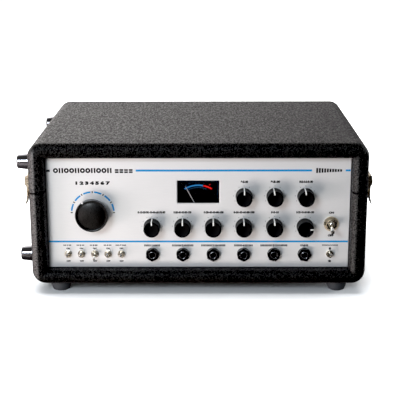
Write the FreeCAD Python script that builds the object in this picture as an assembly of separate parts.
import FreeCAD, Part
import math
import os

# Tape echo unit in a vinyl-covered wooden case. Millimetres, X to the right, the front faces -Y, Z up.
# The origin lies on the table, under the middle of the unit.

V = FreeCAD.Vector
LEFT = V(-1, 0, 0)
RIGHT = V(1, 0, 0)
FRONT = V(0, -1, 0)
BACK = V(0, 1, 0)
UP = V(0, 0, 1)
DOWN = V(0, 0, -1)

# ---- driving dimensions -------------------------------------------------------------------------
# case
CASE_WIDTH = 410.0
CASE_FRONT_Y = -149.0
CASE_REAR_Y = 145.0
CASE_HEIGHT = 177.0
FOOT_HEIGHT = 13.0
SIDE_WALL = 19.0
TOP_WALL = 18.5
BOTTOM_WALL = 16.5
LONG_EDGE_RADIUS = 16.5
RIM_OUTER_RADIUS = 8.0
RIM_INNER_RADIUS = 7.0
REAR_EDGE_RADIUS = 2.5
SEAM_Z = 129.5
SEAM_GAP = 0.8
REAR_WALL = 18.0
RAIL_HEIGHT = 25.0
BATTEN = 12.0

# front panel
PANEL_RECESS = 18.0
PANEL_SHEET = 1.5
PANEL_FLANGE = 12.0
PANEL_BEND_RADIUS = 0.9
PANEL_GAP = 0.3

# control positions on the panel
KNOB_PITCH = 37.6
FIRST_COLUMN_X = -57.0
UPPER_ROW_Z = 121.5
LOWER_ROW_Z = 83.0
JACK_ROW_Z = 47.0
MODE_X = -129.5
MODE_Z = 100.5
MINI_PITCH = 16.5
FIRST_MINI_X = -161.6
MINI_Z = 47.2
POWER_X = 163.3
POWER_Z = 86.1
METER_WIDTH = 51.4
METER_HEIGHT = 28.4
METER_Z = 126.6

# controls
KNOB_BASE_RADIUS = 10.3
KNOB_TOP_RADIUS = 9.75
KNOB_HEIGHT = 17.0
MODE_KNOB_RADIUS = 20.2
MODE_KNOB_HEIGHT = 16.6
SHAFT_RADIUS = 3.0
MINI_TILT = 13.0
POWER_TILT = 17.0
NEEDLE_REST = 28.0
NEEDLE_LENGTH = 33.5
NEEDLE_PIVOT_Z = 102.4
PLUG_BORE_RADIUS = 3.25

# tape deck
DECK_TOP = 120.0
DECK_SHEET = 3.0
DECK_FRONT = -96.0
DECK_BACK = 118.0
DECK_HALF_WIDTH = 176.0
CAPSTAN = V(90.0, -67.0, 0)
CAPSTAN_RADIUS = 3.0
FLYWHEEL_RADIUS = 35.0
MOTOR = V(10.0, -50.0, 0)
PULLEY_RADIUS = 8.0
MOTOR_RADIUS = 24.0
MOTOR_TOP = 88.0
MOTOR_SHAFT_RADIUS = 2.5
BELT_Z = 104.0
TAPE_WIDTH = 6.35
TAPE_THICKNESS = 0.3
TAPE_BOTTOM = 124.5
TAPE_LINE_Y = -70.2
ARM_PIVOT = V(60.0, -86.0, 0)
ARM_LENGTH = 30.0
ROLLER_RADIUS = 10.0

# rear panel
VENT_COUNT = 12
FIRST_VENT_X = 20.0
VENT_PITCH = 11.0
VENT_WIDTH = 4.5

# hardware on the outside
HINGE_X = 120.0
HINGE_WIDTH = 50.0
HINGE_LEAF = 2.0
HINGE_LEAF_HEIGHT = 24.0
HINGE_SCREW_OFFSET = 16.5
HINGE_KNUCKLE_RADIUS = 3.6
HINGE_PIN_RADIUS = 1.8
LATCH_Y = -118.0
LATCH_PLATE = 1.4
LATCH_PIN_X = 209.3
LATCH_PIN_Z = 144.0
LATCH_PIN_RADIUS = 1.1
LATCH_KNUCKLE_RADIUS = 2.6
LATCH_HALF_WIDTH = 12.0
LATCH_SCREW_STEP = 10.0
LATCH_SCREW_Z = 136.0
HASP_HALF_WIDTH = 5.9
CATCH_PLATE = 1.2
CATCH_SCREW_Z = 121.0
HANDLE_Y = 15.0
HANDLE_Z = 72.0
HANDLE_CAP_Y = 86.0
HANDLE_HALF_HEIGHT = 11.0
SIDE_FOOT_LENGTH = 16.5
SIDE_FOOT_BASE_RADIUS = 10.3
SIDE_FOOT_END_RADIUS = 8.5
SIDE_FOOT_YS = (-118.0, 122.0)
LOWER_SIDE_FOOT_Z = 44.0
UPPER_SIDE_FOOT_Z = 162.0

# places worked out from the above
HALF_W = CASE_WIDTH / 2
CASE_BOTTOM = FOOT_HEIGHT
CASE_TOP = FOOT_HEIGHT + CASE_HEIGHT
OPEN_X = HALF_W - SIDE_WALL
FLOOR_Z = CASE_BOTTOM + BOTTOM_WALL
CEILING_Z = CASE_TOP - TOP_WALL
LOWER_TOP_Z = SEAM_Z - SEAM_GAP / 2
LID_BOTTOM_Z = SEAM_Z + SEAM_GAP / 2
PANEL_Y = CASE_FRONT_Y + PANEL_RECESS
PANEL_BACK_Y = PANEL_Y + PANEL_SHEET
COLUMNS = [FIRST_COLUMN_X + KNOB_PITCH * i for i in range(6)]
MINI_COLUMNS = [FIRST_MINI_X + MINI_PITCH * i for i in range(5)] + [POWER_X - 0.6]
HINGE_PIN = V(0, CASE_REAR_Y + HINGE_LEAF + HINGE_KNUCKLE_RADIUS - 0.4, SEAM_Z)
DECK_BOTTOM = DECK_TOP - DECK_SHEET
TRAY_TOP = FLOOR_Z + 2.0
REAR_WALL_Y = CASE_REAR_Y - REAR_WALL
REAR_PANEL_BACK_Y = REAR_WALL_Y + 6.0
INLET = V(-125.0, REAR_PANEL_BACK_Y, 66.0)
BOTTOM_FEET = [(x, y) for x in (-172.5, 172.5) for y in (-125.0, 125.0)]

# knob nodes: name, column and height of the row
KNOBS = [
    ("knob_bass", 3, UPPER_ROW_Z),
    ("knob_treble", 4, UPPER_ROW_Z),
    ("knob_feedback", 5, UPPER_ROW_Z),
    ("knob_input_volume", 0, LOWER_ROW_Z),
    ("knob_chorus_rate", 1, LOWER_ROW_Z),
    ("knob_chorus_depth", 2, LOWER_ROW_Z),
    ("knob_reverb_volume", 3, LOWER_ROW_Z),
    ("knob_tape_speed", 4, LOWER_ROW_Z),
    ("knob_echo_volume", 5, LOWER_ROW_Z),
]
# mini toggle levers from the left: +1 stands up, -1 stands down
MINI_LEVERS = [
    ("toggle_lever_1", 1),
    ("toggle_lever_2", 1),
    ("toggle_lever_3", -1),
    ("toggle_lever_4", 1),
    ("toggle_lever_5", 1),
    ("level_lever", 1),
]


# ---- building blocks ----------------------------------------------------------------------------
def box(x0, x1, y0, y1, z0, z1):
    """Box between two corners."""
    return Part.makeBox(x1 - x0, y1 - y0, z1 - z0, V(x0, y0, z0))


def rod(radius, start, end):
    """Round bar from one point to another."""
    axis = end - start
    return Part.makeCylinder(radius, axis.Length, start, axis)


def lathe(profile, origin, axis):
    """Turned solid. Profile points are (radius, distance along the axis from the origin)."""
    points = [V(r, 0, h) for r, h in profile]
    points.append(points[0])
    face = Part.Face(Part.makePolygon(points))
    solid = face.revolve(V(0, 0, 0), UP, 360)
    solid.Placement = FreeCAD.Placement(origin, FreeCAD.Rotation(UP, axis))
    return solid


def hex_bar(across_flats, start, end, turn=0.0):
    """Hexagonal bar along Y, from start to end, turned by some degrees about its axis."""
    radius = across_flats / math.sqrt(3)
    points = []
    for i in range(7):
        angle = math.radians(60 * i + 30 + turn)
        points.append(start + V(radius * math.sin(angle), 0, radius * math.cos(angle)))
    return Part.Face(Part.makePolygon(points)).extrude(end - start)


def prism(points, direction):
    """Flat outline pushed along a direction."""
    return Part.Face(Part.makePolygon(points + [points[0]])).extrude(direction)


def mirrored(shape):
    """The same piece on the other side of the case."""
    return shape.mirror(V(0, 0, 0), RIGHT)


def both_sides(shape):
    return [shape, mirrored(shape)]


def rounded_loop(points, radii):
    """Closed flat wire through corner points, each corner rounded by its own radius."""
    count = len(points)
    starts = []
    ends = []
    edges = []
    for i in range(count):
        corner = points[i]
        into = (corner - points[i - 1]).normalize()
        out = (points[(i + 1) % count] - corner).normalize()
        turn = into.getAngle(out)
        reach = radii[i] * math.tan(turn / 2)
        starts.append(corner - into * reach)
        ends.append(corner + out * reach)
    for i in range(count):
        chord_middle = (starts[i] + ends[i]) * 0.5
        half_chord = (starts[i] - ends[i]).Length / 2
        rise = radii[i] - math.sqrt(radii[i] ** 2 - half_chord ** 2)
        outward = (points[i] - chord_middle).normalize()
        edges.append(Part.Arc(starts[i], chord_middle + outward * rise, ends[i]).toShape())
        edges.append(Part.LineSegment(ends[i], starts[(i + 1) % count]).toShape())
    return Part.Wire(edges)


def ribbon_loop(points, radii, thickness, height):
    """Closed ribbon that stands on edge along a rounded loop."""
    wire = rounded_loop(points, radii)
    outer = wire.makeOffset2D(thickness / 2)
    inner = wire.makeOffset2D(-thickness / 2)
    ring = Part.Face(outer).cut(Part.Face(inner))
    return ring.extrude(V(0, 0, height))


def screw(point, direction, head_radius, length):
    """Round-head screw: the head stands on the point, the shank runs against the direction."""
    head = lathe([(0, 0), (head_radius, 0), (head_radius * 0.8, 1.2), (0, 1.6)], point, direction)
    shank = rod(head_radius * 0.45, point, point - direction * length)
    slot = Part.makeBox(head_radius * 2.4, 0.8, 1.2, V(-head_radius * 1.2, -0.4, 0.9))
    slot.Placement = FreeCAD.Placement(point, FreeCAD.Rotation(UP, direction)).multiply(slot.Placement)
    return head.fuse(shank).cut(slot)


def pilot(point, direction, head_radius, length):
    """Hole that a screw's shank stands in."""
    return rod(head_radius * 0.45 + 0.05, point + direction * 4, point - direction * (length + 0.3))


def drill(shape, screws):
    for spot in screws:
        shape = shape.cut(pilot(*spot))
    return shape


# ---- screw positions: point under the head, direction that the head faces, head radius, length ----
def hinge_screws(z):
    y = CASE_REAR_Y + HINGE_LEAF
    xs = [side * HINGE_X + step for side in (-1, 1) for step in (-15.0, 15.0)]
    return [(V(x, y, z), BACK, 3.0, 12.0) for x in xs]


def latch_screws(z, plate):
    spots = []
    for side, facing in ((-1, LEFT), (1, RIGHT)):
        for y in (LATCH_Y - LATCH_SCREW_STEP, LATCH_Y + LATCH_SCREW_STEP):
            spots.append((V(side * (HALF_W + plate), y, z), facing, 1.6, 9.0))
    return spots


def rear_panel_screws():
    return [(V(x, REAR_PANEL_BACK_Y, z), BACK, 2.8, 9.0) for x in (-180.0, 180.0) for z in (44.0, 92.0)]


def foot_screws():
    return [(V(x, y, 6.0), DOWN, 3.6, 16.0) for x, y in BOTTOM_FEET]


LOWER_HINGE_SCREWS = hinge_screws(SEAM_Z - HINGE_SCREW_OFFSET)
UPPER_HINGE_SCREWS = hinge_screws(SEAM_Z + HINGE_SCREW_OFFSET)
CATCH_SCREWS = latch_screws(CATCH_SCREW_Z, CATCH_PLATE)
LATCH_SCREWS = latch_screws(LATCH_SCREW_Z, LATCH_PLATE)
LOWER_SCREWS = LOWER_HINGE_SCREWS + CATCH_SCREWS + rear_panel_screws() + foot_screws()
LID_SCREWS = UPPER_HINGE_SCREWS + LATCH_SCREWS


# ---- case ---------------------------------------------------------------------------------------
def case_tube():
    """The whole case as one tube along Y, with its long edges and both rims rounded."""
    shell = box(-HALF_W, HALF_W, CASE_FRONT_Y, CASE_REAR_Y, CASE_BOTTOM, CASE_TOP)
    long_edges = [e for e in shell.Edges if abs(e.Vertexes[0].Y - e.Vertexes[1].Y) > 1]
    shell = shell.makeFillet(LONG_EDGE_RADIUS, long_edges)
    front = [e for e in shell.Edges if e.BoundBox.YMax < CASE_FRONT_Y + 0.1]
    shell = shell.makeFillet(RIM_OUTER_RADIUS, front)
    rear = [e for e in shell.Edges if e.BoundBox.YMin > CASE_REAR_Y - 0.1]
    shell = shell.makeFillet(REAR_EDGE_RADIUS, rear)
    shell = shell.cut(box(-OPEN_X, OPEN_X, CASE_FRONT_Y - 1, CASE_REAR_Y + 1, FLOOR_Z, CEILING_Z))
    inner = []
    for edge in shell.Edges:
        bound = edge.BoundBox
        in_front = bound.YMax < CASE_FRONT_Y + 0.1
        inside = bound.XMin > -OPEN_X - 0.1 and bound.XMax < OPEN_X + 0.1
        level = bound.ZMin > FLOOR_Z - 0.1 and bound.ZMax < CEILING_Z + 0.1
        if in_front and inside and level:
            inner.append(edge)
    return shell.makeFillet(RIM_INNER_RADIUS, inner)


def case_lower(tube):
    """Lower case: the tube up to the seam, with a rear rail and battens for the rear panel."""
    shape = tube.common(box(-300, 300, -300, 300, 0, LOWER_TOP_Z))
    rail_z = LOWER_TOP_Z - RAIL_HEIGHT
    shape = shape.fuse(box(-OPEN_X, OPEN_X, REAR_WALL_Y, CASE_REAR_Y, rail_z, LOWER_TOP_Z))
    batten = box(OPEN_X - BATTEN, OPEN_X, REAR_WALL_Y - 8, REAR_WALL_Y + 4, FLOOR_Z, rail_z)
    for side in both_sides(batten):
        shape = shape.fuse(side)
    return drill(shape.removeSplitter(), LOWER_SCREWS)


def case_lid(tube):
    """Lid: the tube above the seam, closed by its own rear wall."""
    shape = tube.common(box(-300, 300, -300, 300, LID_BOTTOM_Z, 400))
    shape = shape.fuse(box(-OPEN_X, OPEN_X, REAR_WALL_Y, CASE_REAR_Y, LID_BOTTOM_Z, CEILING_Z))
    return drill(shape.removeSplitter(), LID_SCREWS)


def bottom_feet():
    """Rubber feet with a rounded lower edge and a well for the screw."""
    profile = [(1.75, 0), (13.2, 0), (13.0, 4), (11.8, 9), (10.4, 12.2), (9.0, 13.0), (4.5, 13.0),
               (4.5, 7.0), (1.75, 7.0)]
    return [lathe(profile, V(x, y, CASE_BOTTOM), DOWN) for x, y in BOTTOM_FEET]


def side_feet(z):
    """Polished metal feet on the left side, for standing the unit on end."""
    length = SIDE_FOOT_LENGTH
    base = SIDE_FOOT_BASE_RADIUS
    end = SIDE_FOOT_END_RADIUS
    profile = [(0, 0), (base, 0), (base, 1.2), (base - 0.4, 1.6), (end, length - 1.6),
               (end - 0.4, length - 0.6), (end - 1.2, length), (4.0, length), (3.2, length - 1.0),
               (0, length - 1.0)]
    return [lathe(profile, V(-HALF_W, y, z), LEFT) for y in SIDE_FOOT_YS]


# ---- rear hinges --------------------------------------------------------------------------------
def hinge_half(x, is_lower):
    """One leaf with its share of the knuckles: the lower leaf has the outer two."""
    half = HINGE_WIDTH / 2
    third = HINGE_WIDTH / 6
    pin = V(x, HINGE_PIN.y, HINGE_PIN.z)
    low = SEAM_Z - HINGE_LEAF_HEIGHT if is_lower else SEAM_Z
    high = SEAM_Z if is_lower else SEAM_Z + HINGE_LEAF_HEIGHT
    leaf = box(x - half, x + half, CASE_REAR_Y, CASE_REAR_Y + HINGE_LEAF, low, high)
    outer = [(-half, -third), (third, half)]
    middle = [(-third, third)]
    spans = outer if is_lower else middle
    gaps = middle if is_lower else outer
    clear = HINGE_KNUCKLE_RADIUS + 0.5
    for start, end in gaps:
        leaf = leaf.cut(rod(clear, pin + V(start - 0.15, 0, 0), pin + V(end + 0.15, 0, 0)))
    neck_low = max(low, SEAM_Z - 4)
    neck_high = min(high, SEAM_Z + 4)
    for start, end in spans:
        inset = 0.15 if is_lower else 0.2
        a = start if start == -half else start + inset
        b = end if end == half else end - inset
        neck = box(x + a, x + b, CASE_REAR_Y, CASE_REAR_Y + HINGE_LEAF, neck_low, neck_high)
        leaf = leaf.fuse(neck).fuse(rod(HINGE_KNUCKLE_RADIUS, pin + V(a, 0, 0), pin + V(b, 0, 0)))
    bore = HINGE_PIN_RADIUS + (0.02 if is_lower else 0.06)
    leaf = leaf.cut(rod(bore, pin - V(half + 1, 0, 0), pin + V(half + 1, 0, 0)))
    return leaf.removeSplitter()


def hinge_leaves_lower():
    return [drill(hinge_half(side * HINGE_X, True), LOWER_HINGE_SCREWS) for side in (-1, 1)]


def hinge_leaves_upper():
    return [drill(hinge_half(side * HINGE_X, False), UPPER_HINGE_SCREWS) for side in (-1, 1)]


def hinge_pins():
    half = HINGE_WIDTH / 2 + 0.8
    pins = []
    for side in (-1, 1):
        middle = V(side * HINGE_X, HINGE_PIN.y, HINGE_PIN.z)
        pins.append(rod(HINGE_PIN_RADIUS, middle - V(half, 0, 0), middle + V(half, 0, 0)))
    return pins


# ---- side latches -------------------------------------------------------------------------------
def latch_hinge_plates():
    """Plates on the lid that carry the hasps, each with two knuckles and a fixed pin."""
    x, y, z = HALF_W, LATCH_Y, LATCH_PIN_Z
    half = LATCH_HALF_WIDTH
    gap = HASP_HALF_WIDTH + 0.3
    plate = box(x, x + LATCH_PLATE, y - half, y + half, LID_BOTTOM_Z + 2, z + 5)
    plate = plate.cut(box(x - 1, x + 3, y - gap, y + gap, z - 3.2, z + 3.2))
    pin = V(LATCH_PIN_X, y, z)
    for start, end in ((-half, -gap), (gap, half)):
        plate = plate.fuse(rod(LATCH_KNUCKLE_RADIUS, pin + V(0, start, 0), pin + V(0, end, 0)))
        plate = plate.fuse(box(x, LATCH_PIN_X, y + start, y + end, z - 1.6, z + 1.6))
    plate = plate.fuse(rod(LATCH_PIN_RADIUS, pin - V(0, half, 0), pin + V(0, half, 0))).removeSplitter()
    return [drill(side, LATCH_SCREWS) for side in both_sides(plate)]


def latch_hasp():
    """Hasp of the right side: knuckle, thick spring housing, plate across the seam, flared finger tail."""
    outer = [(212.2, 144.0), (212.8, 141.0), (212.8, 136.0), (212.0, 133.6), (210.8, 132.4), (210.6, 127.0),
             (210.6, 120.0), (211.3, 115.5), (213.0, 110.0)]
    inner = [(212.0, 109.3), (210.0, 115.0), (209.3, 119.6), (209.3, 128.0), (208.4, 131.6), (207.4, 133.0),
             (207.4, 140.4), (208.0, 142.5)]
    half = HASP_HALF_WIDTH
    tail_half = 8.0
    plate = prism([V(x, LATCH_Y - tail_half, z) for x, z in outer + inner], V(0, 2 * tail_half, 0))
    for start, end in ((-tail_half - 1, -half), (half, tail_half + 1)):
        plate = plate.cut(box(200, 220, LATCH_Y + start, LATCH_Y + end, 140.8, 150))
    pin = V(LATCH_PIN_X, LATCH_Y, LATCH_PIN_Z)
    knuckle = rod(LATCH_KNUCKLE_RADIUS, pin - V(0, half, 0), pin + V(0, half, 0))
    bore = rod(LATCH_PIN_RADIUS + 0.06, pin - V(0, half + 2, 0), pin + V(0, half + 2, 0))
    return plate.fuse(knuckle).cut(bore).removeSplitter()


def latch_catches():
    """Catch plates on the lower case, each with a rounded block that ends just under the hasp."""
    x, y = HALF_W, LATCH_Y
    plate = box(x, x + CATCH_PLATE, y - LATCH_HALF_WIDTH, y + LATCH_HALF_WIDTH, 112.0, 127.5)
    block = box(x, x + 3.9, y - 6, y + 6, 117.0, 125.0)
    crest = [e for e in block.Edges if e.BoundBox.XMin > x + 3.8]
    plate = plate.fuse(block.makeFillet(1.2, crest)).removeSplitter()
    return [drill(side, CATCH_SCREWS) for side in both_sides(plate)]


# ---- carrying handle on the right side --------------------------------------------------------------
def carry_handle():
    """Moulded strap between two end caps. The gap behind it takes the fingers."""
    x = HALF_W
    inside = [(x + 2.2, -83), (x + 2.2, -76), (x + 11.5, -52), (x + 11.5, 52), (x + 2.2, 76), (x + 2.2, 83)]
    outside = [(x + 6.6, 83), (x + 6.8, 75), (x + 16.5, 50), (x + 16.5, -50), (x + 6.8, -75), (x + 6.6, -83)]
    half = HANDLE_HALF_HEIGHT
    points = [V(px, HANDLE_Y + py, HANDLE_Z - half) for px, py in inside + outside]
    strap = prism(points, V(0, 0, 2 * half))
    long_edges = [e for e in strap.Edges if abs(e.Vertexes[0].Y - e.Vertexes[1].Y) > 80]
    strap = strap.makeFillet(1.5, long_edges)
    pieces = [strap]
    for side in (-1, 1):
        middle = HANDLE_Y + side * HANDLE_CAP_Y
        cap = box(x, x + 8.0, middle - 11, middle + 11, HANDLE_Z - half - 4, HANDLE_Z + half + 4)
        edges = [e for e in cap.Edges if e.BoundBox.XMax > x + 7.9]
        slot_z = half + 0.3
        slot = box(x + 1.9, x + 7.1, middle - 30, middle + 30, HANDLE_Z - slot_z, HANDLE_Z + slot_z)
        pieces.append(cap.makeFillet(3.0, edges).cut(slot))
    return pieces


# ---- rear panel and mains inlet ------------------------------------------------------------------
def rear_panel():
    """Steel plate on the battens, with the inlet cut-out and a row of vent slots."""
    y0 = REAR_PANEL_BACK_Y - 2.0
    plate = box(-OPEN_X + 0.3, OPEN_X - 0.3, y0, y0 + 2, FLOOR_Z + 0.3, LOWER_TOP_Z - RAIL_HEIGHT - 0.3)
    plate = plate.cut(box(INLET.x - 14.2, INLET.x + 14.2, y0 - 1, y0 + 3, INLET.z - 17.2, INLET.z + 17.2))
    for i in range(VENT_COUNT):
        x = FIRST_VENT_X + VENT_PITCH * i
        plate = plate.cut(box(x, x + VENT_WIDTH, y0 - 1, y0 + 3, 50.0, 84.0))
    return drill(plate, rear_panel_screws())


def mains_inlet():
    """Three-pin inlet with a fuse drawer below the socket."""
    x, y, z = INLET.x, INLET.y, INLET.z
    flange = box(x - 25, x + 25, y, y + 3, z - 19, z + 19)
    corners = [e for e in flange.Edges if abs(e.Vertexes[0].Y - e.Vertexes[1].Y) > 1]
    body = flange.makeFillet(4.0, corners).fuse(box(x - 14, x + 14, y - 26, y, z - 17, z + 17))
    body = body.cut(box(x - 12, x + 12, y - 14, y + 4, z - 3, z + 13))
    drawer = box(x - 11, x + 11, y - 12, y + 3.6, z - 14, z - 6)
    body = body.cut(box(x - 11.2, x + 11.2, y - 12.2, y + 4, z - 14.2, z - 5.8))
    for px in (-20, 20):
        body = body.cut(rod(1.6, V(x + px, y - 1, z), V(x + px, y + 4, z)))
    pieces = [body.removeSplitter(), drawer]
    for px, pz in ((-7, 3), (0, 7), (7, 3)):
        pieces.append(box(x + px - 1, x + px + 1, y - 14, y - 3, z + pz - 2.5, z + pz + 2.5))
    return pieces


# ---- front panel --------------------------------------------------------------------------------
def panel_hole(x, z, radius):
    return rod(radius, V(x, PANEL_Y - 5, z), V(x, PANEL_Y + 5, z))


def front_panel():
    """Silver sheet with its four edges folded back, and holes for every control.

    Each fold's lip is a solid of its own, so the hollow behind the sheet stays open.
    """
    half = OPEN_X - PANEL_GAP
    low = FLOOR_Z + PANEL_GAP
    high = CEILING_Z - PANEL_GAP
    lip_y = PANEL_Y + PANEL_BEND_RADIUS
    back = PANEL_Y + PANEL_FLANGE
    sheet = box(-half, half, PANEL_Y, lip_y, low, high)
    front = [e for e in sheet.Edges if e.BoundBox.YMax < PANEL_Y + 0.1]
    sheet = sheet.makeFillet(PANEL_BEND_RADIUS - 0.01, front)
    t = PANEL_SHEET
    sheet = sheet.cut(box(-half + t, half - t, PANEL_BACK_Y, lip_y + 1, low + t, high - t))
    for name, column, z in KNOBS:
        sheet = sheet.cut(panel_hole(COLUMNS[column], z, 3.7))
    for x in COLUMNS:
        sheet = sheet.cut(panel_hole(x, JACK_ROW_Z, 5.0))
    for x in MINI_COLUMNS:
        sheet = sheet.cut(panel_hole(x, MINI_Z, 3.2))
    sheet = sheet.cut(panel_hole(MODE_X, MODE_Z, 4.8))
    sheet = sheet.cut(panel_hole(POWER_X, POWER_Z, 6.1))
    w = METER_WIDTH / 2
    h = METER_HEIGHT / 2
    sheet = sheet.cut(box(-w, w, PANEL_Y - 1, PANEL_BACK_Y + 1, METER_Z - h, METER_Z + h))
    rim = [e for e in sheet.Edges if in_meter_rim(e.BoundBox, w, h)]
    pieces = [sheet.makeChamfer(0.7, rim)]
    for z in (low, high - t):
        pieces.append(box(-half, half, lip_y, back, z, z + t))
    for x in (-half, half - t):
        pieces.append(box(x, x + t, lip_y, back, low + t, high - t))
    return pieces


def in_meter_rim(bound, w, h):
    across = bound.XMin > -w - 0.1 and bound.XMax < w + 0.1
    upright = bound.ZMin > METER_Z - h - 0.1 and bound.ZMax < METER_Z + h + 0.1
    return across and upright and bound.YMax < PANEL_Y + 0.1


# ---- level meter ----------------------------------------------------------------------------------
METER_CARD_Y = PANEL_BACK_Y + 5.0


def meter_housing():
    """Black housing behind the panel, with a cover plate over the needle's movement."""
    w = METER_WIDTH / 2 + 0.2
    top = METER_Z + METER_HEIGHT / 2 + 0.7
    low = NEEDLE_PIVOT_Z - 4.0
    case = box(-w - 3, w + 3, PANEL_BACK_Y, PANEL_BACK_Y + 28, low - 3, top + 3)
    case = case.cut(box(-w, w, PANEL_BACK_Y - 1, METER_CARD_Y, low, top))
    cover_y = PANEL_BACK_Y + 1.3
    cover = box(-w, w, cover_y, cover_y + 0.8, low, METER_Z - METER_HEIGHT / 2 - 0.6)
    bump = rod(9.0, V(0, cover_y, 104.0), V(0, cover_y + 0.8, 104.0))
    cover = cover.fuse(bump.common(box(-w, w, cover_y, cover_y + 1, low, top)))
    return case.fuse(cover).removeSplitter()


def meter_window():
    """Clear window that sits in the panel's cut-out."""
    w = METER_WIDTH / 2 - 0.25
    h = METER_HEIGHT / 2 - 0.25
    return box(-w, w, PANEL_Y + 0.7, PANEL_BACK_Y + 0.9, METER_Z - h, METER_Z + h)


def meter_needle():
    """Needle and its hub, resting at the left end of the scale."""
    y0 = METER_CARD_Y - 1.9
    angle = math.radians(NEEDLE_REST)
    along = V(-math.sin(angle), 0, math.cos(angle))
    across = V(math.cos(angle), 0, math.sin(angle))
    pivot = V(0, y0, NEEDLE_PIVOT_Z)
    tip = pivot + along * NEEDLE_LENGTH
    base = pivot + along * 1.0
    points = [base + across * 0.5, tip + across * 0.3, tip - across * 0.3, base - across * 0.5]
    blade = prism(points, V(0, 0.5, 0))
    return blade.fuse(rod(2.4, pivot, pivot + V(0, 1.2, 0)))


# ---- controls ---------------------------------------------------------------------------------------
def knob(x, z):
    """Slightly tapered knob on its shaft, hollow underneath to clear the nut."""
    h = KNOB_HEIGHT
    profile = [(7.2, 0.8), (KNOB_BASE_RADIUS, 0.8), (KNOB_TOP_RADIUS + 0.05, h - 0.7),
               (KNOB_TOP_RADIUS - 0.7, h), (0, h), (0, 14.2), (3.05, 14.2), (3.05, 4.2), (7.2, 4.2)]
    origin = V(x, PANEL_Y, z)
    shaft = rod(SHAFT_RADIUS, origin + V(0, 12, 0), origin + V(0, -14.0, 0))
    return [lathe(profile, origin, FRONT), shaft]


def mode_knob():
    """Large mode knob: narrow at the back, with a thin raised ring round a dished face."""
    r = MODE_KNOB_RADIUS
    h = MODE_KNOB_HEIGHT
    profile = [(9.0, 0.8), (16.6, 0.8), (19.4, 10.2), (r, 11.0), (r, h - 0.7), (r - 0.7, h), (r - 1.7, h),
               (r - 2.1, h - 0.6), (0, h - 0.6), (0, 13.0), (3.05, 13.0), (3.05, 5.0), (9.0, 5.0)]
    origin = V(MODE_X, PANEL_Y, MODE_Z)
    shaft = rod(SHAFT_RADIUS, origin + V(0, 16, 0), origin + V(0, -12.8, 0))
    return [lathe(profile, origin, FRONT), shaft]


def control_body(x, z, size, depth, bush, bore, nut_flats):
    """Body behind the panel, threaded bush through it and a nut in front."""
    back = PANEL_BACK_Y
    body = box(x - size / 2, x + size / 2, back, back + depth, z - size / 2, z + size / 2)
    body = body.fuse(rod(bush, V(x, PANEL_Y - 3.4, z), V(x, back + 1, z)))
    body = body.cut(rod(bore, V(x, PANEL_Y - 5, z), V(x, back + depth - 1.5, z)))
    nut = hex_bar(nut_flats, V(x, PANEL_Y, z), V(x, PANEL_Y - 2.2, z), 11.0)
    nut = nut.cut(rod(bush + 0.05, V(x, PANEL_Y + 1, z), V(x, PANEL_Y - 4, z)))
    return [body, nut]


def control_bodies():
    """Nine potentiometers and the rotary mode switch."""
    pieces = []
    for name, column, z in KNOBS:
        pieces += control_body(COLUMNS[column], z, 16.0, 13.5, 3.5, SHAFT_RADIUS + 0.06, 10.0)
    pieces += control_body(MODE_X, MODE_Z, 30.0, 20.0, 4.6, SHAFT_RADIUS + 0.06, 13.0)
    return pieces


def jack_sockets():
    """Six panel sockets: square body behind, threaded bush in front, one bore for the plug."""
    pieces = []
    for x in COLUMNS:
        back = PANEL_BACK_Y
        body = box(x - 8, x + 8, back, back + 26, JACK_ROW_Z - 8, JACK_ROW_Z + 8)
        body = body.fuse(rod(4.75, V(x, PANEL_Y - 6.2, JACK_ROW_Z), V(x, back + 1, JACK_ROW_Z)))
        body = body.cut(rod(PLUG_BORE_RADIUS, V(x, PANEL_Y - 8, JACK_ROW_Z), V(x, back + 23, JACK_ROW_Z)))
        pieces.append(body)
    return pieces


def jack_nuts():
    """Black plastic nuts, each on a round washer and turned as it was tightened."""
    pieces = []
    for x, turn in zip(COLUMNS, (34.0, 30.0, 29.0, 26.0, 14.0, 4.0)):
        start = V(x, PANEL_Y, JACK_ROW_Z)
        washer = lathe([(4.85, 0), (8.15, 0), (7.9, 1.0), (4.85, 1.0)], start, FRONT)
        nut = hex_bar(15.0, start + V(0, -1, 0), start + V(0, -5.4, 0), turn)
        round_off = lathe([(0, 0), (9.2, 0), (9.2, 4.0), (7.3, 5.4), (0, 5.4)], start, FRONT)
        nut = nut.common(round_off).cut(rod(4.85, start + V(0, 2, 0), start + V(0, -9, 0)))
        pieces.append(washer.fuse(nut).removeSplitter())
    return pieces


def toggle_bush(x, z, outer, bore, length):
    """Threaded bush, open inside for the lever's swing."""
    bush = rod(outer, V(x, PANEL_Y - length, z), V(x, PANEL_BACK_Y, z))
    return bush.cut(rod(bore, V(x, PANEL_Y - length - 1, z), V(x, PANEL_BACK_Y + 1, z)))


def mini_switches():
    """Six small toggle switches: body, bush and nut."""
    pieces = []
    for i, x in enumerate(MINI_COLUMNS):
        body = box(x - 6.4, x + 6.4, PANEL_BACK_Y, PANEL_BACK_Y + 12, MINI_Z - 4, MINI_Z + 4)
        bush = toggle_bush(x, MINI_Z, 3.0, 2.35, 4.6)
        well = rod(2.35, V(x, PANEL_BACK_Y - 1, MINI_Z), V(x, PANEL_BACK_Y + 2, MINI_Z))
        pieces.append(body.cut(well).fuse(bush))
        start = V(x, PANEL_Y, MINI_Z)
        nut = hex_bar(8.0, start + V(0, -0.6, 0), start + V(0, -2.8, 0), 17.0 * i)
        washer = rod(4.7, start, start + V(0, -0.6, 0))
        pieces.append(nut.fuse(washer).cut(rod(3.05, start + V(0, 1, 0), start + V(0, -4, 0))))
    return pieces


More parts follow.
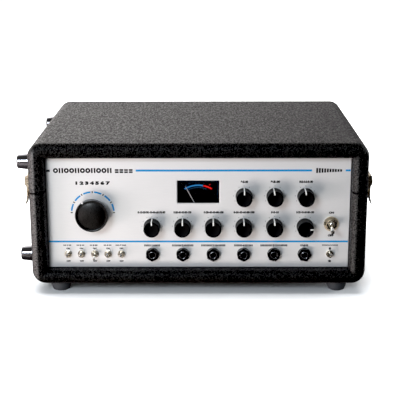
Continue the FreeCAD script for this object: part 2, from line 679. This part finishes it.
def toggle_lever(x, z, pivot_depth, tilt, ball, stem, tip, length):
    """Lever that widens to a rounded tip. Tilt is in degrees above straight out."""
    angle = math.radians(tilt)
    along = V(0, -math.cos(angle), math.sin(angle))
    pivot = V(x, PANEL_Y - pivot_depth, z)
    profile = [(0, -0.5 * ball), (stem, -0.5 * ball), (stem, 0.35 * length), (tip, 0.92 * length),
               (0.8 * tip, 0.975 * length), (0.4 * tip, length), (0, length)]
    bat = lathe(profile, pivot, along)
    return bat.fuse(Part.makeSphere(ball, pivot))


def mini_lever(i, side):
    return toggle_lever(MINI_COLUMNS[i], MINI_Z, 1.2, side * MINI_TILT, 2.0, 1.05, 1.5, 13.5)


def power_switch():
    """Body and bush of the power switch."""
    x, z = POWER_X, POWER_Z
    body = box(x - 9, x + 9, PANEL_BACK_Y, PANEL_BACK_Y + 22, z - 14, z + 14)
    well = rod(4.8, V(x, PANEL_BACK_Y - 1, z), V(x, PANEL_BACK_Y + 4, z))
    return body.cut(well).fuse(toggle_bush(x, z, 5.9, 4.8, 5.6))


def power_switch_nut():
    """Round dress nut with a sloping front."""
    profile = [(5.95, 0), (9.3, 0), (9.3, 1.6), (8.6, 2.5), (7.1, 4.4), (5.95, 4.6)]
    return lathe(profile, V(POWER_X, PANEL_Y, POWER_Z), FRONT)


def power_lever():
    return toggle_lever(POWER_X, POWER_Z, 1.5, -POWER_TILT, 4.4, 2.0, 2.7, 19.5)


# ---- chassis and electronics -----------------------------------------------------------------------
POSTS = [(x, y) for x in (-165.0, 165.0) for y in (-84.0, 106.0)]


def chassis_tray():
    """Steel tray on the case floor, with four posts that carry the deck."""
    tray = box(-178, 178, -116, 116, FLOOR_Z, TRAY_TOP)
    for side in (-1, 1):
        tray = tray.fuse(box(side * 177 - 1, side * 177 + 1, -116, 116, FLOOR_Z, FLOOR_Z + 18))
    for x, y in POSTS:
        tray = tray.fuse(rod(6.0, V(x, y, FLOOR_Z + 1), V(x, y, DECK_BOTTOM)))
    return tray.removeSplitter()


def power_transformer():
    """Laminated core with its winding, standing on the tray at the rear right."""
    z = TRAY_TOP
    core = box(95, 155, 40, 90, z, z + 52)
    core = core.cut(box(105, 118, 39, 91, z + 10, z + 42)).cut(box(132, 145, 39, 91, z + 10, z + 42))
    winding = box(105.5, 144.5, 32, 98, z + 10.5, z + 41.5)
    winding = winding.cut(box(117.5, 132.5, 31, 99, z + 9, z + 43))
    return [core, winding]


def main_board():
    """Circuit board on six standoffs, with its taller parts."""
    z = TRAY_TOP
    top = z + 9.6
    pieces = [box(-156, 60, -10, 98, z + 8, top)]
    for x in (-150.0, -48.0, 54.0):
        for y in (-4.0, 92.0):
            pieces.append(rod(3.0, V(x, y, z), V(x, y, z + 8)))
    for i in range(5):
        pieces.append(rod(6.0, V(-130.0 + 22 * i, 78, top), V(-130.0 + 22 * i, 78, top + 20)))
    for i in range(6):
        x = -150.0 + 30 * i
        pieces.append(box(x, x + 18, 20, 27, top, top + 4))
        pieces.append(box(x, x + 18, 48, 55, top, top + 4))
    return pieces


def reverb_tank():
    """Open steel channel hung under the deck, with two springs stretched along it."""
    z0, z1 = 76.0, 104.0
    pan = box(-150, 60, 20, 106, z0, z1).cut(box(-148.8, 58.8, 21.2, 104.8, z0 - 1, z1 - 1.2))
    for x in (-135.0, 45.0):
        for y in (32.0, 94.0):
            pan = pan.fuse(rod(4.0, V(x, y, z1 - 0.6), V(x, y, DECK_BOTTOM)))
    pieces = [pan]
    for y in (48.0, 78.0):
        tube = rod(2.4, V(-148.8, y, 90), V(58.8, y, 90)).cut(rod(1.8, V(-149, y, 90), V(60, y, 90)))
        pieces.append(tube)
    return pieces


# ---- tape deck --------------------------------------------------------------------------------------
GUIDE_POSTS = [V(-96.0, -67.0, 0), V(122.0, -67.0, 0)]
GUIDE_RADIUS = 3.0
BEARING_RADIUS = 8.0
BEARING_LENGTH = 5.5


def deck_plate():
    """Deck with the capstan's bearing under it, and the arm's pivot post and two tape guides on it."""
    plate = box(-DECK_HALF_WIDTH, DECK_HALF_WIDTH, DECK_FRONT, DECK_BACK, DECK_BOTTOM, DECK_TOP)
    bearing_top = CAPSTAN + V(0, 0, DECK_BOTTOM)
    bearing = rod(BEARING_RADIUS, bearing_top - V(0, 0, BEARING_LENGTH), bearing_top)
    bore = rod(CAPSTAN_RADIUS + 0.05, CAPSTAN + V(0, 0, 100), CAPSTAN + V(0, 0, 130))
    pivot_post = rod(4.0, ARM_PIVOT + V(0, 0, DECK_TOP), ARM_PIVOT + V(0, 0, 129))
    pieces = [plate.cut(bore), bearing.cut(bore), pivot_post]
    for post in GUIDE_POSTS:
        guide = rod(GUIDE_RADIUS, post + V(0, 0, DECK_TOP), post + V(0, 0, 134))
        for z in (TAPE_BOTTOM - 1.5, TAPE_BOTTOM + TAPE_WIDTH + 0.5):
            guide = guide.fuse(rod(5.0, post + V(0, 0, z), post + V(0, 0, z + 1)))
        pieces.append(guide.removeSplitter())
    return pieces


def tape_motor():
    """Motor on the tray, with a boss and a bore for its shaft."""
    can = rod(MOTOR_RADIUS, MOTOR + V(0, 0, TRAY_TOP), MOTOR + V(0, 0, MOTOR_TOP))
    boss = rod(MOTOR_RADIUS / 3, MOTOR + V(0, 0, MOTOR_TOP - 1), MOTOR + V(0, 0, MOTOR_TOP + 4))
    bore = rod(MOTOR_SHAFT_RADIUS + 0.06, MOTOR + V(0, 0, MOTOR_TOP - 28), MOTOR + V(0, 0, MOTOR_TOP + 7))
    return can.fuse(boss).cut(bore)


def motor_pulley():
    """Crowned pulley and motor shaft, turned as one."""
    shaft = MOTOR_SHAFT_RADIUS
    rim = PULLEY_RADIUS + 1.5
    profile = [(0, 62), (shaft, 62), (shaft, 97), (rim, 97), (rim, 99), (PULLEY_RADIUS, 99.6),
               (PULLEY_RADIUS, 108.4), (rim, 109), (rim, 111), (0, 111)]
    return lathe(profile, V(MOTOR.x, MOTOR.y, 0), UP)


def flywheel():
    """Heavy rim, thin web and a hub pressed on the capstan."""
    r = FLYWHEEL_RADIUS
    profile = [(3.02, 96), (8.0, 96), (8.0, 101), (r - 8, 101), (r - 8, 98.5), (r, 98.5), (r, 109.5),
               (r - 8, 109.5), (r - 8, 106), (8.0, 106), (8.0, 110.5), (3.02, 110.5)]
    return lathe(profile, CAPSTAN, UP)


def capstan_shaft():
    return rod(CAPSTAN_RADIUS, CAPSTAN + V(0, 0, 92), CAPSTAN + V(0, 0, 136))


def drive_belt():
    """Flat belt round the motor pulley and the flywheel's rim."""
    small = PULLEY_RADIUS + 0.1
    large = FLYWHEEL_RADIUS + 0.1
    span = CAPSTAN - MOTOR
    reach = span.Length
    lean = math.asin((large - small) / reach)
    heading = math.atan2(span.y, span.x)
    height = 4.0
    bottom = BELT_Z - height / 2
    shells = []
    for grow in (0.8, 0.0):
        points = []
        for side in (1, -1):
            angle = heading + side * (math.pi / 2 + lean)
            way = V(math.cos(angle), math.sin(angle), 0)
            points.append((MOTOR + way * (small + grow), CAPSTAN + way * (large + grow)))
        outline = [points[0][0], points[0][1], points[1][1], points[1][0]]
        middle = prism([p + V(0, 0, bottom) for p in outline], V(0, 0, height))
        ends = []
        for centre, radius in ((MOTOR, small), (CAPSTAN, large)):
            ends.append(rod(radius + grow, centre + V(0, 0, bottom), centre + V(0, 0, bottom + height)))
        shells.append(middle.fuse(ends[0]).fuse(ends[1]))
    return shells[0].cut(shells[1]).removeSplitter()


def tape_heads():
    """Erase, record and three playback heads in a row, each on its own base."""
    pieces = []
    for x in (-62.0, -34.0, -4.0, 22.0, 48.0):
        front = TAPE_LINE_Y + TAPE_THICKNESS / 2 + 0.15
        head = box(x - 6, x + 6, front, front + 15, 122.5, 133.5)
        edges = [e for e in head.Edges if abs(e.BoundBox.YMax - front) < 0.1 and e.BoundBox.ZLength > 5]
        pieces.append(head.makeFillet(3.0, edges))
        pieces.append(box(x - 9, x + 9, front + 3, front + 22, DECK_TOP, 122.5))
    return pieces


def pinch_arm():
    """Arm on its pivot post, with the roller's axle. It stands clear of the capstan at rest."""
    roller = ARM_PIVOT + V(ARM_LENGTH, 0, 0)
    z0, z1 = 120.4, 123.0
    arm = rod(7.5, ARM_PIVOT + V(0, 0, z0), ARM_PIVOT + V(0, 0, z1))
    arm = arm.fuse(rod(6.0, roller + V(0, 0, z0), roller + V(0, 0, z1)))
    arm = arm.fuse(box(ARM_PIVOT.x, roller.x, ARM_PIVOT.y - 5, ARM_PIVOT.y + 5, z0, z1))
    arm = arm.fuse(rod(2.0, roller + V(0, 0, z1 - 1), roller + V(0, 0, 135.5)))
    arm = arm.fuse(rod(7.0, ARM_PIVOT + V(0, 0, z1 - 1), ARM_PIVOT + V(0, 0, 128)))
    arm = arm.cut(rod(4.08, ARM_PIVOT + V(0, 0, 100), ARM_PIVOT + V(0, 0, 140)))
    return arm.removeSplitter()


def pinch_roller():
    """Rubber roller that turns on the arm's axle."""
    roller = ARM_PIVOT + V(ARM_LENGTH, 0, 0)
    profile = [(2.07, 123.4), (4.5, 123.4), (4.5, 124), (ROLLER_RADIUS - 0.5, 124), (ROLLER_RADIUS, 124.5),
               (ROLLER_RADIUS, 132), (ROLLER_RADIUS - 0.5, 132.5), (4.5, 132.5), (4.5, 134), (2.07, 134)]
    return lathe(profile, V(roller.x, roller.y, 0), UP)


TANK_FRONT = -34.0
TANK_BACK = 112.0
TANK_HALF_WIDTH = 152.0
TANK_TOP = 136.0


def tape_tank():
    """Open tray that stores the loose tape, with a slot at each end of its front wall."""
    w = TANK_HALF_WIDTH
    tank = box(-w, w, TANK_FRONT, TANK_BACK, DECK_TOP, TANK_TOP)
    tank = tank.cut(box(-w + 2, w - 2, TANK_FRONT + 2, TANK_BACK - 2, DECK_TOP + 3, TANK_TOP + 1))
    for x in (-120.0, 146.0):
        slot = box(x - 8, x + 3.5, TANK_FRONT - 1, TANK_FRONT + 3, DECK_TOP + 3, TANK_TOP + 1)
        tank = tank.cut(slot)
    return tank


def tank_cover():
    """Clear sheet on the tank's walls, held by four thumb nuts."""
    w = TANK_HALF_WIDTH
    sheet = box(-w, w, TANK_FRONT, TANK_BACK, TANK_TOP, TANK_TOP + 2)
    corners = [e for e in sheet.Edges if e.BoundBox.ZLength > 1]
    return sheet.makeFillet(5.0, corners)


def tape_loop():
    """Endless tape: along the heads, past the capstan, and folded to and fro in the tank."""
    guide = GUIDE_RADIUS + TAPE_THICKNESS / 2 + 0.1
    left, right = GUIDE_POSTS
    corners = [
        (V(left.x - guide, TAPE_LINE_Y, 0), guide),
        (V(right.x + guide, TAPE_LINE_Y, 0), guide),
        (V(142.0, -38.0, 0), 18.0),
        (V(142.0, 96.0, 0), 10.0),
        (V(104.0, 96.0, 0), 10.0),
        (V(104.0, -14.0, 0), 10.0),
        (V(66.0, -14.0, 0), 10.0),
        (V(66.0, 96.0, 0), 10.0),
        (V(28.0, 96.0, 0), 10.0),
        (V(28.0, -14.0, 0), 10.0),
        (V(-10.0, -14.0, 0), 10.0),
        (V(-10.0, 96.0, 0), 10.0),
        (V(-48.0, 96.0, 0), 10.0),
        (V(-48.0, -14.0, 0), 10.0),
        (V(-86.0, -14.0, 0), 10.0),
        (V(-86.0, 96.0, 0), 10.0),
        (V(-124.0, 96.0, 0), 10.0),
        (V(-124.0, -34.0, 0), 18.0),
    ]
    points = [corner + V(0, 0, TAPE_BOTTOM) for corner, radius in corners]
    radii = [radius for corner, radius in corners]
    return ribbon_loop(points, radii, TAPE_THICKNESS, TAPE_WIDTH)


# ---- export -------------------------------------------------------------------------------------------
def export(name, shape):
    """Write one node. A list becomes one node of separate solids."""
    if isinstance(shape, list):
        shape = Part.makeCompound(shape)
    if not shape.isValid():
        print("not valid:", name)
    shape.exportStep("parts/" + name + ".step")
    bound = shape.BoundBox
    print("%-22s %2d solids  %8.1f cm3  z %.1f..%.1f" % (name, len(shape.Solids), shape.Volume / 1000,
                                                       bound.ZMin, bound.ZMax))


os.makedirs("parts", exist_ok=True)
tube = case_tube()
hasp = latch_hasp()

export("case_lower", case_lower(tube))
export("case_lid", case_lid(tube))
export("bottom_feet", bottom_feet())
export("side_feet_lower", side_feet(LOWER_SIDE_FOOT_Z))
export("side_feet_upper", side_feet(UPPER_SIDE_FOOT_Z))
export("hinge_leaves_lower", hinge_leaves_lower())
export("hinge_leaves_upper", hinge_leaves_upper())
export("hinge_pins", hinge_pins())
export("latch_hinge_plates", latch_hinge_plates())
export("latch_hasp_right", hasp)
export("latch_hasp_left", mirrored(hasp))
export("latch_catches", latch_catches())
export("carry_handle", carry_handle())
export("case_screws", [screw(*spot) for spot in LOWER_SCREWS])
export("lid_screws", [screw(*spot) for spot in LID_SCREWS])
export("rear_panel", rear_panel())
export("mains_inlet", mains_inlet())
export("front_panel", front_panel())
export("meter_housing", meter_housing())
export("meter_window", meter_window())
export("meter_needle", meter_needle())
for name, column, z in KNOBS:
    export(name, knob(COLUMNS[column], z))
export("mode_knob", mode_knob())
export("control_bodies", control_bodies())
export("jack_sockets", jack_sockets())
export("jack_nuts", jack_nuts())
export("mini_switches", mini_switches())
for i, (name, side) in enumerate(MINI_LEVERS):
    export(name, mini_lever(i, side))
export("power_switch", power_switch())
export("power_switch_nut", power_switch_nut())
export("power_lever", power_lever())
export("chassis_tray", chassis_tray())
export("power_transformer", power_transformer())
export("main_board", main_board())
export("reverb_tank", reverb_tank())
export("deck_plate", deck_plate())
export("tape_motor", tape_motor())
export("motor_pulley", motor_pulley())
export("flywheel", flywheel())
export("capstan_shaft", capstan_shaft())
export("drive_belt", drive_belt())
export("tape_heads", tape_heads())
export("pinch_arm", pinch_arm())
export("pinch_roller", pinch_roller())
export("tape_tank", tape_tank())
export("tank_cover", tank_cover())
export("tape_loop", tape_loop())
